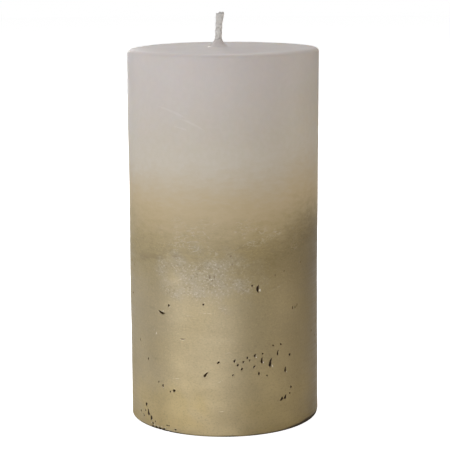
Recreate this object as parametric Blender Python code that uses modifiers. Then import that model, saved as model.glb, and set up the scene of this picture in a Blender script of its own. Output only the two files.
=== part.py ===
"""Unity candle: a round pillar candle whose lower part wears a gold lacquer coat.

A pressed paraffin core is dipped in a second skin of wax, the gold coat is brushed round the
lower wall, and a flat plait of three cotton strands runs up a drilled bore from a tinned steel
sustainer in the base. The wick's bore is sealed with wax above and below.

Units are metres, +Z is up, and the origin is the middle of the base.
"""

import math

import bpy

MM = 0.001

# The pillar
PILLAR_RADIUS = 35.0 * MM
PILLAR_HEIGHT = 137.0 * MM
RIM_ROUNDING = 1.5 * MM          # the soft edge round the top face
FOOT_BEVEL = 0.8 * MM            # the worn edge round the base
SKIN = 3.0 * MM                  # the over-dip's thickness
GAP = 0.3 * MM                   # clearance between pieces that touch on the real candle

# The gold coat, which lies flush with the bare wax above it
COAT_TOP = 98.0 * MM
COAT_THICKNESS = 0.35 * MM

# The wick, a flat plait whose centre line stands beside the pillar's axis
WICK_X = -1.6 * MM
WICK_TOP = 149.6 * MM
STRAND_COUNT = 3
STRAND_RADIUS = 0.34 * MM
PLAIT_HALF_WIDTH = 0.90 * MM     # of the strands' centre lines
PLAIT_HALF_DEPTH = 0.62 * MM
PLAIT_PITCH = 7.0 * MM
POINTS_PER_PITCH = 10
TIP_LEAN = 0.66 * MM             # how far the free end leans towards +X
TIP_SLANT = 0.3 * MM             # how much higher each strand ends than the one before

# The bore, the sustainer and the wax that seals them
BORE_RADIUS = 1.6 * MM
RECESS_RADIUS = 12.0 * MM
RECESS_DEPTH = 2.6 * MM
DISC_RADIUS = 10.0 * MM
DISC_THICKNESS = 0.4 * MM
NECK_OUTER_RADIUS = 2.0 * MM
NECK_HEIGHT = 6.0 * MM
PLUG_RADIUS = 2.3 * MM           # the top seal where it fills the over-dip's hole
MENISCUS_RADIUS = 3.2 * MM       # where the seal spreads on the top face
MENISCUS_HEIGHT = 1.9 * MM
MENISCUS_CURVE = 2.5             # how hollow the cone's flank is: 1 is straight

SEGMENTS = 72                    # round the pillar
SMALL_SEGMENTS = 32              # round the bore, the sustainer and the seals
ARC_STEPS = 4

# Heights that follow from the dimensions above
CORE_TOP = PILLAR_HEIGHT - SKIN - GAP
DISC_TOP = RECESS_DEPTH - GAP
DISC_BOTTOM = DISC_TOP - DISC_THICKNESS
NECK_TOP = DISC_TOP + NECK_HEIGHT
LEAN_START = PILLAR_HEIGHT + MENISCUS_HEIGHT


def clear_scene():
    """Remove every object, so that the script can be run again in an open file."""
    for old in list(bpy.data.objects):
        bpy.data.objects.remove(old, do_unlink=True)


def new_collection(name):
    """Return an empty collection linked to the scene."""
    collection = bpy.data.collections.get(name) or bpy.data.collections.new(name)
    if collection.name not in bpy.context.scene.collection.children:
        bpy.context.scene.collection.children.link(collection)
    return collection


def new_material(name, colour, roughness, metallic=0.0):
    """Return a Principled material of one colour."""
    material = bpy.data.materials.new(name)
    material.use_nodes = True
    shader = material.node_tree.nodes["Principled BSDF"]
    shader.inputs["Base Color"].default_value = (*colour, 1.0)
    shader.inputs["Roughness"].default_value = roughness
    shader.inputs["Metallic"].default_value = metallic
    return material


def arc(centre, radius, start, end):
    """Points (x, z) on an arc, from the start angle to the end angle in degrees."""
    points = []
    for step in range(ARC_STEPS + 1):
        angle = math.radians(start + (end - start) * step / ARC_STEPS)
        points.append((centre[0] + radius * math.cos(angle), centre[1] + radius * math.sin(angle)))
    return points


def turned(name, profile, closed, segments, collection, material=None):
    """Turn a profile of (radius, height) points about +Z. It runs down its outer side."""
    mesh = bpy.data.meshes.new(name)
    count = len(profile)
    edges = [(i, i + 1) for i in range(count - 1)]
    if closed:
        edges.append((count - 1, 0))
    mesh.from_pydata([(x, 0.0, z) for x, z in profile], edges, [])
    obj = bpy.data.objects.new(name, mesh)
    collection.objects.link(obj)
    if material:
        mesh.materials.append(material)
    screw = obj.modifiers.new("turn", "SCREW")
    screw.axis = "Z"
    screw.angle = math.tau
    screw.steps = segments
    screw.render_steps = segments
    screw.use_merge_vertices = True
    screw.merge_threshold = 0.000001
    screw.use_smooth_shade = True
    return obj


def cut(obj, cutter):
    """Drill one object with a cutter, and keep the cutter out of the model."""
    cutter.hide_render = True
    cutter.display_type = "WIRE"
    boolean = obj.modifiers.new("drill " + cutter.name, "BOOLEAN")
    boolean.operation = "DIFFERENCE"
    boolean.solver = "EXACT"
    boolean.object = cutter


def make_core(parts, cutters, material):
    """The pressed core, with the sustainer's recess and the wick's bore drilled in it."""
    radius = PILLAR_RADIUS - COAT_THICKNESS - GAP - SKIN - GAP
    core = turned(
        "wax_core",
        [(0.0, CORE_TOP)]
        + arc((radius - FOOT_BEVEL, CORE_TOP - FOOT_BEVEL), FOOT_BEVEL, 90, 0)
        + [(radius, 0.0), (0.0, 0.0)],
        False, SEGMENTS, parts, material,
    )
    neck_room = NECK_OUTER_RADIUS + GAP
    drill = turned(
        "base_drill",
        [
            (0.0, CORE_TOP + SKIN),
            (BORE_RADIUS, CORE_TOP + SKIN),
            (BORE_RADIUS, NECK_TOP + GAP),
            (neck_room, NECK_TOP + GAP),
            (neck_room, RECESS_DEPTH),
            (RECESS_RADIUS, RECESS_DEPTH),
            (RECESS_RADIUS, -SKIN),
            (0.0, -SKIN),
        ],
        False, SMALL_SEGMENTS, cutters,
    )
    drill.location.x = WICK_X
    cut(core, drill)
    return core


def make_overdip(parts, cutters, material):
    """The dipped skin: a cup over the core, rebated for the gold coat, with the wick's hole."""
    inner = PILLAR_RADIUS - COAT_THICKNESS - GAP - SKIN
    rebate = PILLAR_RADIUS - COAT_THICKNESS - GAP
    rim = (PILLAR_RADIUS - RIM_ROUNDING, PILLAR_HEIGHT - RIM_ROUNDING)
    shell = turned(
        "overdip_shell",
        [(0.0, PILLAR_HEIGHT)]
        + arc(rim, RIM_ROUNDING, 90, 0)
        + [
            (PILLAR_RADIUS, COAT_TOP + GAP),
            (rebate, COAT_TOP + GAP),
            (rebate, FOOT_BEVEL),
            (rebate - FOOT_BEVEL, 0.0),
            (inner, 0.0),
            (inner, PILLAR_HEIGHT - SKIN),
            (0.0, PILLAR_HEIGHT - SKIN),
        ],
        False, SEGMENTS, parts, material,
    )
    hole = turned(
        "wick_hole_drill",
        [
            (0.0, PILLAR_HEIGHT + SKIN),
            (PLUG_RADIUS + GAP, PILLAR_HEIGHT + SKIN),
            (PLUG_RADIUS + GAP, PILLAR_HEIGHT - 2 * SKIN),
            (0.0, PILLAR_HEIGHT - 2 * SKIN),
        ],
        False, SMALL_SEGMENTS, cutters,
    )
    hole.location.x = WICK_X
    cut(shell, hole)
    return shell


def make_coat(parts, material):
    """The gold lacquer, a thin sleeve round the lower wall with a worn lower edge."""
    inner = PILLAR_RADIUS - COAT_THICKNESS
    return turned(
        "gold_lacquer_coat",
        [
            (PILLAR_RADIUS, COAT_TOP),
            (PILLAR_RADIUS, FOOT_BEVEL),
            (inner, FOOT_BEVEL),
            (inner, COAT_TOP),
        ],
        True, SEGMENTS, parts, material,
    )


def make_sustainer(parts, material):
    """The tinned steel disc that holds the wick, with its neck drawn up round the plait."""
    sustainer = turned(
        "wick_sustainer",
        [
            (NECK_OUTER_RADIUS, NECK_TOP),
            (NECK_OUTER_RADIUS, DISC_TOP),
            (DISC_RADIUS, DISC_TOP),
            (DISC_RADIUS, DISC_BOTTOM),
            (BORE_RADIUS, DISC_BOTTOM),
            (BORE_RADIUS, NECK_TOP),
        ],
        True, SMALL_SEGMENTS, parts, material,
    )
    sustainer.location.x = WICK_X
    return sustainer


def make_base_seal(parts, material):
    """The wax poured over the sustainer, set a little above the base."""
    radius = RECESS_RADIUS - GAP
    top = DISC_BOTTOM - GAP
    seal = turned(
        "base_seal",
        [(0.0, top), (radius, top), (radius, GAP), (0.0, GAP)],
        False, SMALL_SEGMENTS, parts, material,
    )
    seal.location.x = WICK_X
    return seal


def make_top_seal(parts, material):
    """The wax that plugs the over-dip's hole and climbs the wick in a small cone."""
    foot = PILLAR_HEIGHT + GAP
    edge = foot + GAP
    tip = PILLAR_HEIGHT + MENISCUS_HEIGHT
    lip = BORE_RADIUS + 0.5 * GAP
    flank = []
    for step in range(ARC_STEPS + 1):
        out = step / ARC_STEPS
        radius = lip + (MENISCUS_RADIUS - lip) * out
        flank.append((radius, edge + (tip - edge) * (1 - out) ** MENISCUS_CURVE))
    seal = turned(
        "wick_top_seal",
        flank
        + [
            (MENISCUS_RADIUS, foot),
            (PLUG_RADIUS, foot),
            (PLUG_RADIUS, PILLAR_HEIGHT - SKIN),
            (BORE_RADIUS, PILLAR_HEIGHT - SKIN),
            (BORE_RADIUS, tip),
        ],
        True, SMALL_SEGMENTS, parts, material,
    )
    seal.location.x = WICK_X
    return seal


def plait_point(phase, height):
    """Where a strand's centre line lies at a height. The free end leans in a soft curve."""
    lean = max(0.0, (height - LEAN_START) / (WICK_TOP - LEAN_START))
    return (
        WICK_X + PLAIT_HALF_WIDTH * math.sin(phase) + TIP_LEAN * lean * lean,
        PLAIT_HALF_DEPTH * math.sin(2 * phase),
        height,
    )


def make_strand(index, parts, material):
    """One of the plait's strands, a bevelled curve from the sustainer to the free end."""
    end = WICK_TOP - TIP_SLANT * index
    step = PLAIT_PITCH / POINTS_PER_PITCH
    heights = [DISC_BOTTOM + i * step for i in range(int((end - DISC_BOTTOM) / step))] + [end]
    curve = bpy.data.curves.new(f"wick_strand_{index + 1}", "CURVE")
    curve.dimensions = "3D"
    curve.bevel_depth = STRAND_RADIUS
    curve.bevel_resolution = 1
    curve.use_fill_caps = True
    curve.materials.append(material)
    spline = curve.splines.new("POLY")
    spline.points.add(len(heights) - 1)
    for point, height in zip(spline.points, heights):
        phase = math.tau * (height / PLAIT_PITCH + index / STRAND_COUNT)
        point.co = (*plait_point(phase, height), 1.0)
    strand = bpy.data.objects.new(curve.name, curve)
    parts.objects.link(strand)
    return strand


def main():
    clear_scene()
    parts = new_collection("unity_candle")
    cutters = new_collection("cutters")
    core_wax = new_material("core_wax", (0.78, 0.72, 0.62), 0.5)
    ivory_wax = new_material("ivory_wax", (0.74, 0.69, 0.62), 0.38)
    seal_wax = new_material("seal_wax", (0.72, 0.67, 0.60), 0.42)
    gold = new_material("gold_lacquer", (0.48, 0.36, 0.18), 0.42, 0.75)
    cotton = new_material("wick_cotton", (0.70, 0.68, 0.65), 0.9)
    steel = new_material("tinned_steel", (0.62, 0.62, 0.60), 0.35, 1.0)

    make_core(parts, cutters, core_wax)
    make_overdip(parts, cutters, ivory_wax)
    make_coat(parts, gold)
    make_sustainer(parts, steel)
    make_base_seal(parts, seal_wax)
    make_top_seal(parts, seal_wax)
    for index in range(STRAND_COUNT):
        make_strand(index, parts, cotton)


main()
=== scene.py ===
"""The looks of the unity candle: wax, worn gold lacquer and a plaited cotton wick.

Lengths are in millimetres until a mesh is written, and angles run round the candle in degrees:
0 is the front (-Y), positive towards +X, and 180 is the back, where the seams lie.
"""

import math

import bmesh
import bpy
import numpy as np
from mathutils import Matrix, Vector


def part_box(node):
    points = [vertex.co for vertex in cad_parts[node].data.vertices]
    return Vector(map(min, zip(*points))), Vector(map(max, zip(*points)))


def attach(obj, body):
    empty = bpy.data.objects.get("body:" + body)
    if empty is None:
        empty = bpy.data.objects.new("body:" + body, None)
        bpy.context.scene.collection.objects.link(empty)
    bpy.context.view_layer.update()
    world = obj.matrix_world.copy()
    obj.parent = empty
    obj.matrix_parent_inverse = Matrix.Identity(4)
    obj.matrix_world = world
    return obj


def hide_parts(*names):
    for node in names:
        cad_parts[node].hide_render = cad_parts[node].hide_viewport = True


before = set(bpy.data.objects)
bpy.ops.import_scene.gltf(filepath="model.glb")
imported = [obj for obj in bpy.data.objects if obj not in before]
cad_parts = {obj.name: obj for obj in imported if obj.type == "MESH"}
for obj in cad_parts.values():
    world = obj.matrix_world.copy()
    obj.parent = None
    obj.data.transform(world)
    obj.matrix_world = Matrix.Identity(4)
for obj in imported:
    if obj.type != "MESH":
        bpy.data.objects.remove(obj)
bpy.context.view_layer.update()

MM = 0.001

# Sizes that come from the frame
_, shell_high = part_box("overdip_shell")
_, coat_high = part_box("gold_lacquer_coat")
plait_low, plait_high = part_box("wick_strand_1")
sustainer_low, sustainer_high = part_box("wick_sustainer")
RADIUS = shell_high.x / MM
HEIGHT = shell_high.z / MM
COAT_TOP = coat_high.z / MM
WICK_X = (sustainer_low.x + sustainer_high.x) / 2 / MM
WICK_BOTTOM = plait_low.z / MM
WICK_TOP = plait_high.z / MM
DEGREE = math.pi * RADIUS / 180  # one degree of the wall, in millimetres

# The wax skin
RIM_ROUNDING = 1.6
RIM_STEPS = 8
HOLE_RADIUS = 1.5
SKIN = 3.0

# The coat: a thin sleeve that thins out into the wax at its upper edge
COAT_DEPTH = 0.9  # how far its hidden inner side lies under its face
COAT_FOOT = 0.06  # how high its foot stands above the ground
FOOT_ROUNDING = 0.4
FOOT_STEPS = 4
FEATHER = 0.05  # how deep the two surfaces cross where they meet
FEATHER_LENGTH = 3.0

# The wick's plait
PLAIT_HALF_WIDTH = 0.73
PLAIT_HALF_DEPTH = 0.36
PLAIT_PITCH = 7.0
STRAND_HALF_WIDTH = 0.46  # of the ring that the outer yarns lie on
STRAND_HALF_DEPTH = 0.42
TIP_LEAN = 0.75
TIP_SWELL = 0.22  # how much wider the free end is than the rest
OUTER_YARNS = 13
YARN_RADIUS = 0.125
YARN_ROWS = 60  # rows of a yarn from just inside the candle to its end
FINE_ROWS_FROM = HEIGHT - 4.0
LOOSE_FIBRES = 26

# The cone of wax that climbs the wick
SEAL_LIP = 1.38  # its radius at the wick
SEAL_FOOT = 4.4  # its radius where it runs out
SEAL_TIP = 2.8  # how high it stands above the top face
SEAL_STEPS = 24
SEAL_WALL = 0.16
SEAL_PLUG = HOLE_RADIUS - 0.08
SEAL_DEPTH = 0.86  # its front to back against its width

# Mesh cells
CELL = 0.78  # a wall's tallest cell where it shows
SKIN_COLUMNS = 288
COAT_COLUMNS = 264
SEAL_COLUMNS = 96
NEAR_ENOUGH = (0.9, 0.42, 0.17)  # a cell this near a mark is halved: once, twice, thrice


# ---- small numeric helpers

def smooth(low, high, x):
    """0 below low, 1 above high, and a soft step between them."""
    t = np.clip((np.asarray(x, float) - low) / (high - low), 0.0, 1.0)
    return t * t * (3.0 - 2.0 * t)


def bell(x, centre, width):
    """1 at the centre, falling off over the width."""
    return np.exp(-(((x - centre) / width) ** 2))


def turned_by(degrees, centre):
    """The angle from centre, in degrees, the short way round."""
    return (degrees - centre + 180.0) % 360.0 - 180.0


def bell_round(degrees, centre, width):
    """The same bell for an angle round the candle."""
    return bell(turned_by(degrees, centre), 0.0, width)


def ripple(degrees, z, wavelength, seed, flatness=1.0, count=14):
    """Soft seamless noise on the wall, with a spread of about 1. Flatness stretches it sideways."""
    rng = np.random.default_rng(seed)
    total = np.zeros(np.broadcast(degrees, z).shape)
    for _ in range(count):
        length = wavelength * rng.uniform(0.65, 1.7)
        heading = rng.uniform(0.0, math.tau)
        phase = rng.uniform(0.0, math.tau)
        waves_round = round(360.0 * DEGREE * math.cos(heading) / (length * flatness))
        waves_up = math.sin(heading) / length
        total += np.sin(np.radians(degrees) * waves_round + math.tau * waves_up * z + phase)
    return total / math.sqrt(count / 2)


# ---- marks on the wall

class Mark:
    """One pit, dimple, scuff, glint or smear: an oval on the wall with its own tilt."""

    def __init__(self, kind, degrees, z, half_width, half_length, tilt=0.0, depth=0.0):
        self.kind = kind
        self.degrees = degrees
        self.z = z
        self.half_width = half_width
        self.half_length = half_length
        self.tilt = math.radians(tilt)
        self.depth = depth
        self.phase = (degrees * 0.37 + z * 1.3) % math.tau

    def local(self, degrees, z):
        """Across and along the mark, in millimetres. Tilt is clockwise from upright."""
        side = turned_by(degrees, self.degrees) * DEGREE
        up = z - self.z
        across = side * math.cos(self.tilt) - up * math.sin(self.tilt)
        along = side * math.sin(self.tilt) + up * math.cos(self.tilt)
        return across, along

    def gap(self, degrees, z):
        """How far a point lies outside the mark, in millimetres."""
        across, along = self.local(degrees, z)
        straight = max(0.0, self.half_length - self.half_width)
        return np.hypot(across, np.maximum(np.abs(along) - straight, 0.0)) - self.half_width

    def reach(self, degrees, z):
        """0 at the middle of the mark and 1 at its uneven edge."""
        across, along = self.local(degrees, z)
        bend = 0.18 * self.half_width * np.sin(along / max(self.half_length, 0.2) * 2.4 + self.phase)
        across = across + bend
        across, along = across / self.half_width, along / self.half_length
        turn = np.arctan2(along, across)
        uneven = 1.0 + 0.13 * np.sin(3 * turn + self.phase) + 0.09 * np.sin(5 * turn - self.phase)
        return np.hypot(across, along) * uneven


PIT_DEPTH = 0.55
WIDE_PIT_DEPTH = PIT_DEPTH + 0.15
CHIP_DEPTH = 0.7
PIT_LEAN = 12.0  # how much further the listed upright pits tilt
PIT_WIDENING = 1.3  # the lists below give the dark floor, not the whole pit
SEAM_GAP = 3.0  # degrees that pits keep from the seam at the back
WIDE_SEAM_GAP = 8.0  # the same for long scuffs and chips

# Pits on the front: degrees round, height, half width, half length, tilt
FRONT_PITS = [
    (-43, 43, 0.32, 1.15, 105), (-37, 46, 0.22, 0.38, 0), (-13, 47.5, 0.22, 0.3, 0),
    (21, 52.7, 0.4, 1.1, -12), (17.3, 54, 0.24, 0.32, 0), (-65, 30.5, 0.3, 0.36, 0),
    (-55, 24.5, 0.25, 0.36, 0), (-4, 26.5, 0.24, 0.46, 48), (-12, 22, 0.3, 0.95, 42),
    (6, 27, 0.26, 0.48, 20), (8, 25.5, 0.26, 0.38, 20), (10.5, 24, 0.26, 0.38, 20),
    (11.5, 26.5, 0.24, 0.36, 10), (14, 28, 0.25, 0.32, 0), (15.5, 27, 0.17, 0.26, 0),
    (19, 28.5, 0.3, 0.5, 8), (18.5, 24.5, 0.25, 0.48, 15), (5, 22, 0.2, 0.3, 30),
    (21.5, 22, 0.26, 0.5, 0), (23.5, 26.5, 0.32, 0.92, 0), (24, 29, 0.2, 0.26, 0),
    (27, 21, 0.2, 0.25, 0), (29.5, 25.2, 0.4, 1.35, 4), (31.5, 31.5, 0.25, 0.26, 0),
    (37.5, 31.5, 0.3, 0.25, 0), (35, 28.5, 0.24, 0.85, 4), (45, 27, 0.32, 0.38, 0),
    (41, 22, 0.3, 0.85, 0), (46, 15.5, 0.34, 0.32, 0), (45, 13.5, 0.2, 0.26, 0),
    (38, 12.2, 0.36, 0.72, 24), (41, 12.6, 0.36, 0.7, 24), (-46, 17.5, 0.16, 0.32, 0),
    (-42.5, 16.5, 0.25, 0.44, 0), (-36.5, 15, 0.2, 0.26, 0), (-33.5, 15.5, 0.36, 0.44, 20),
    (-57.5, 8.3, 0.44, 0.6, -20), (-55.5, 5.8, 0.46, 1.0, -14), (-53, 4.1, 0.46, 0.8, -10),
    (-65, 5.2, 0.34, 0.3, 0), (-61, 3.9, 0.44, 0.3, 60), (-59, 6.1, 0.34, 0.4, -20),
    (-49.5, 3, 0.2, 0.3, 0), (-51.5, 1.9, 0.3, 0.36, 70), (-39.5, 2.6, 0.2, 0.26, 0),
    (-38, 2.6, 0.2, 0.26, 0), (-33, 1.5, 0.3, 0.26, 0), (48, 44, 0.15, 0.5, 0),
    (50.5, 44, 0.14, 0.42, 0), (52.5, 44.5, 0.14, 0.46, 0),
]

# Shallow dimples that the lacquer still covers
DIMPLES = [
    (33, 57, 0.4, 0.34, 90), (40, 58, 0.34, 0.36, 0), (56, 60, 0.34, 0.55, 80),
    (4, 65, 0.28, 0.4, 80), (5, 62, 0.22, 0.3, 0), (-6, 57.4, 0.2, 0.62, 10),
    (-9, 57.6, 0.34, 0.72, -14), (-7.4, 56.2, 0.2, 0.4, 40),
    (-27, 34.3, 0.3, 1.0, 92),
]

# Chips knocked out of the base's edge on the front left
BASE_CHIPS = [
    (-49, 0.7, 0.4, 0.6, 90), (-45.8, 0.5, 0.5, 0.9, 84), (-42.6, 0.6, 0.55, 0.9, 94),
    (-39.8, 0.7, 0.42, 0.8, 80), (-36, 0.4, 0.3, 1.2, 90),
]

# Pale scuffs: where the lacquer is scraped to bright metal or wax
FRONT_SCUFFS = [
    (-33, 69.4, 0.13, 6.4, 91), (-28, 69.1, 0.12, 2.6, 94), (8, 69.0, 0.14, 1.9, 58),
    (12.5, 70.4, 0.16, 1.5, 52), (5, 68.0, 0.13, 1.3, 64), (2, 67.2, 0.14, 0.9, 50),
    (-9.5, 69.4, 0.34, 0.6, 60), (-6, 77.5, 0.22, 0.95, 36), (-14.5, 56.8, 0.12, 2.6, 90),
    (-10, 45.5, 0.14, 3.0, 90), (-20.5, 44.1, 0.13, 1.8, 92), (-2.5, 47.2, 0.18, 0.9, 75),
    (33, 53.6, 0.1, 5.6, 70), (-46.5, 37.2, 0.24, 0.85, 40), (27, 60.0, 0.1, 2.2, 125),
    (1.5, 31.0, 0.12, 1.2, 70), (-3, 20.5, 0.14, 1.6, 60), (38, 18.5, 0.16, 1.5, 4),
    (-21, 59.5, 0.14, 1.1, 20), (-18, 62.6, 0.13, 0.9, 70), (-27, 57.0, 0.12, 1.2, 60),
    (9, 54.6, 0.13, 1.3, 35), (-2, 9.5, 0.14, 1.4, 75), (-30, 20.5, 0.12, 2.4, 86),
]

# Bright flakes on the lower right lip of the larger pits and along the base's chips: bare wax where the
# lacquer is chipped, and a painted highlight where a lip catches the light
GLINTS = [
    (22.4, 52.2, 0.3, 0.46, 0), (-47.6, 34.9, 0.2, 0.5, 20), (31, 24.0, 0.15, 0.5, 0),
    (19.8, 27.9, 0.14, 0.26, 0), (24.5, 25.8, 0.13, 0.34, 0), (-8, 56.6, 0.13, 0.26, 0),
    (-42, 16.0, 0.12, 0.22, 0), (-52, 3.6, 0.13, 0.3, 0), (42, 21.2, 0.12, 0.34, 0),
    (-36, 45.6, 0.12, 0.22, 0), (-41.6, 43.6, 0.12, 0.3, 30), (-50, 1.6, 0.24, 0.4, 80),
    (-47, 1.5, 0.2, 0.36, 90), (-44, 1.7, 0.16, 0.3, 60), (-41, 1.4, 0.14, 0.3, 90),
    (-52.5, 2, 0.16, 0.24, 0),
]

# Dull smears where the lacquer is thin and brown
SMEARS = [
    (-25.6, 35.4, 0.26, 0.95, 90), (-44, 26.8, 0.3, 5.5, 92), (20, 59.8, 0.2, 2.8, 112),
    (-55, 63.5, 1.5, 4.5, 88), (-43, 64.5, 1.0, 5.0, 90), (-28, 65.5, 0.8, 3.6, 92),
    (-48, 45.2, 0.24, 2.0, 92), (26, 33.0, 0.3, 1.6, 70), (18, 60.0, 0.14, 3.0, 108),
    (29, 53.9, 0.12, 3.4, 104), (33, 54.4, 0.12, 5.4, 71), (22, 62.4, 0.12, 2.0, 100),
]


# Clusters of pits elsewhere: degrees round, height, number of pits
PIT_CLUSTERS = [
    (74, 33, 5), (96, 18, 9), (118, 48, 6), (142, 12, 7), (160, 34, 6),
    (-160, 55, 5), (-138, 24, 12), (-112, 44, 6), (-92, 15, 7), (-78, 52, 4),
]
SIDE_SCUFFS = 26
SIDE_CHIPS = 7


def scattered_marks():
    """Pits, scuffs and chips of the same kinds round the sides and the back."""
    rng = np.random.default_rng(41)
    marks = []
    for centre, height, count in PIT_CLUSTERS:
        for _ in range(count):
            degrees = centre + rng.normal(0.0, 6.5)
            z = float(np.clip(height + rng.normal(0.0, 4.0), 3.0, 63.0))
            width = rng.uniform(0.18, 0.36)
            length = width * rng.uniform(1.0, 3.0)
            if abs(turned_by(degrees, 180.0)) > SEAM_GAP:
                marks.append(Mark("pit", degrees, z, width, length, rng.normal(8.0, 14.0), PIT_DEPTH))
            if rng.random() < 0.3:
                # A glint on the pit's lower lip: bare wax and a painted highlight
                marks.append(Mark("glint", degrees + 0.8, z - 0.6 * length, 0.13, 0.28))
    for _ in range(SIDE_SCUFFS):
        degrees = rng.uniform(70.0, 290.0)
        z = rng.choice([rng.uniform(4.0, 60.0), rng.normal(68.0, 3.0)])
        if abs(turned_by(degrees, 180.0)) > WIDE_SEAM_GAP:
            length = rng.uniform(0.9, 3.4)
            marks.append(Mark("scuff", degrees, z, 0.13, length, rng.normal(84.0, 22.0)))
    for _ in range(SIDE_CHIPS):
        degrees = rng.uniform(75.0, 285.0)
        if abs(turned_by(degrees, 180.0)) > WIDE_SEAM_GAP:
            marks.append(Mark("pit", degrees, 0.6, 0.5, rng.uniform(0.7, 1.4), 90.0, 0.6))
    return marks


def settled(degrees, z):
    """Where a listed pit, dimple or glint sits: the lists are a little too wide and too low."""
    pull = np.interp(degrees, [-56.0, -44.0], [0.975, 0.948])
    at = math.degrees(math.asin(math.sin(math.radians(degrees)) * pull))
    lift = np.interp(z, [2.0, 5.0, 12.5, 17.0, 24.0, 60.0], [-0.1, -0.6, 0.1, 0.6, 1.1, 1.2])
    return at, z + lift


def all_marks():
    """Every mark on the coat."""
    marks = []
    for degrees, z, half_width, half_length, tilt in FRONT_PITS:
        depth = WIDE_PIT_DEPTH if half_width > 0.3 else PIT_DEPTH
        wide, long = half_width * PIT_WIDENING, half_length * PIT_WIDENING
        lean = PIT_LEAN if abs(tilt) < 30 else 0.0
        marks.append(Mark("pit", *settled(degrees, z), wide, long, tilt + lean, depth))
    marks += [Mark("pit", *row, CHIP_DEPTH) for row in BASE_CHIPS]
    marks += [Mark("dimple", *settled(*row[:2]), *row[2:]) for row in DIMPLES]
    marks += [Mark("scuff", *row) for row in FRONT_SCUFFS]
    marks += [Mark("glint", *settled(*row[:2]), *row[2:]) for row in GLINTS]
    marks += [Mark("smear", *row) for row in SMEARS]
    return marks + scattered_marks()


def mark_fields(marks, degrees, z):
    """The height that the marks add to the wall, and how strongly each kind shows."""
    fields = {kind: np.zeros(len(degrees)) for kind in ("pit", "dimple", "scuff", "glint", "smear")}
    height = np.zeros(len(degrees))
    for mark in marks:
        near = np.flatnonzero(mark.gap(degrees, z) < 2.0)
        if not len(near):
            continue
        reach = mark.reach(degrees[near], z[near])
        inside = 1.0 - smooth(0.72, 1.08, reach)
        fields[mark.kind][near] = np.maximum(fields[mark.kind][near], inside)
        if mark.kind == "pit":
            hollow = -mark.depth * (1.0 - smooth(0.25, 1.12, reach))
            lip = 0.05 * bell(reach, 1.3, 0.22)
            height[near] = np.minimum(height[near] + lip, lip + hollow)
        elif mark.kind == "dimple":
            height[near] -= 0.12 * inside
        elif mark.kind in ("scuff", "glint"):
            height[near] += 0.045 * (1.0 - smooth(0.3, 1.1, reach))
    return height, fields


# ---- the walls' large shapes

def wall_shape(degrees, z):
    """Millimetres that the wall stands out from its plain radius."""
    waist = -0.33 * bell_round(degrees, 85.0, 55.0) * bell(z, 0.42 * HEIGHT, 42.0)
    flare = 0.16 * bell(z, 0.0, 5.0) * bell_round(degrees, 90.0, 70.0)
    slow = 0.05 * ripple(degrees, z, 42.0, seed=3, flatness=1.6)
    brushed = 0.012 * ripple(degrees, z, 5.0, seed=5, flatness=5.0) * (1.0 - smooth(70.0, 90.0, z))
    return np.minimum(waist + flare + slow, 0.12) + brushed - 0.05


def veil_lift(degrees, z):
    """How much higher the lacquer's edge lies than on the front, in millimetres."""
    right = smooth(22.0, 58.0, degrees) * smooth(150.0, 110.0, degrees)
    drift = ripple(degrees, z, 60.0, seed=21, count=8) * smooth(0.0, 60.0, np.abs(degrees))
    return 7.0 * right + 1.2 * drift


def foot_wear_and_shadow_band(degrees):
    """How far the base's edge is worn, and how high the painted shadow along it reaches, in
    millimetres: most on the front right, little elsewhere.
    """
    right = bell_round(degrees, 66.0, 30.0)
    left = bell_round(degrees, -44.0, 12.0)
    return 0.30 + 1.35 * right + 0.35 * left + 0.12 * np.sin(np.radians(degrees * 7.0)) * right


def top_shape(degrees, r):
    """Millimetres that the top face stands above its plane: cast unevenly, with a soft rise inwards."""
    x = r * np.sin(np.radians(degrees))
    y = -r * np.cos(np.radians(degrees))
    waves = 0.10 * np.sin(0.16 * x + 0.5) * np.cos(0.13 * y + 1.1) + 0.05 * np.sin(0.31 * x - 0.27 * y)
    rise = 0.25 * np.exp(-((r / 7.0) ** 2))
    dish = -0.18 * bell(r, 21.0, 9.0)
    return (waves + dish) * smooth(RADIUS - 1.0, RADIUS - 8.0, r) + rise - 0.12


# ---- strips wrapped round the candle

class Outline:
    """A closed outline of (radius, height, wall, top), walked from its visible side inwards.

    Wall and top say how much a point belongs to the wall and the top face. Hidden ones are 0, 0.
    """

    def __init__(self):
        self.rows = []

    def run(self, start, end, step, wall=0.0, top=0.0):
        """A straight run from start to end in steps, both ends included."""
        length = math.dist(start, end)
        count = max(1, round(length / step))
        for i in range(count + 1):
            t = i / count
            point = [a + (b - a) * t for a, b in zip(start, end)]
            self.add(*point, wall, top)

    def add(self, r, z, wall=0.0, top=0.0):
        if not self.rows or math.dist(self.rows[-1][:2], (r, z)) > 1e-6:
            self.rows.append((r, z, wall, top))

    def arrays(self):
        table = np.array(self.rows, float)
        steps = np.hypot(np.diff(table[:, 0]), np.diff(table[:, 1]))
        along = np.concatenate([[0.0], np.cumsum(steps)])
        return along, table


def wrapped_grid(name, outline, columns):
    """A flat grid: x is degrees round the candle, y is the way along the outline."""
    along, _ = outline.arrays()
    degrees = np.linspace(-180.0, 180.0, columns + 1)
    x, y = np.meshgrid(degrees, along)
    points = np.stack([x.ravel(), y.ravel(), np.zeros(x.size)], axis=1)
    row, column = np.meshgrid(np.arange(len(along) - 1), np.arange(columns), indexing="ij")
    corner = (row * (columns + 1) + column).ravel()
    faces = np.stack([corner, corner + columns + 1, corner + columns + 2, corner + 1], axis=1)
    mesh = bpy.data.meshes.new(name)
    mesh.from_pydata(points.tolist(), [], faces.tolist())
    return mesh


def mesh_points(mesh):
    co = np.empty(len(mesh.vertices) * 3)
    mesh.vertices.foreach_get("co", co)
    return co.reshape(-1, 3)


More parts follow.
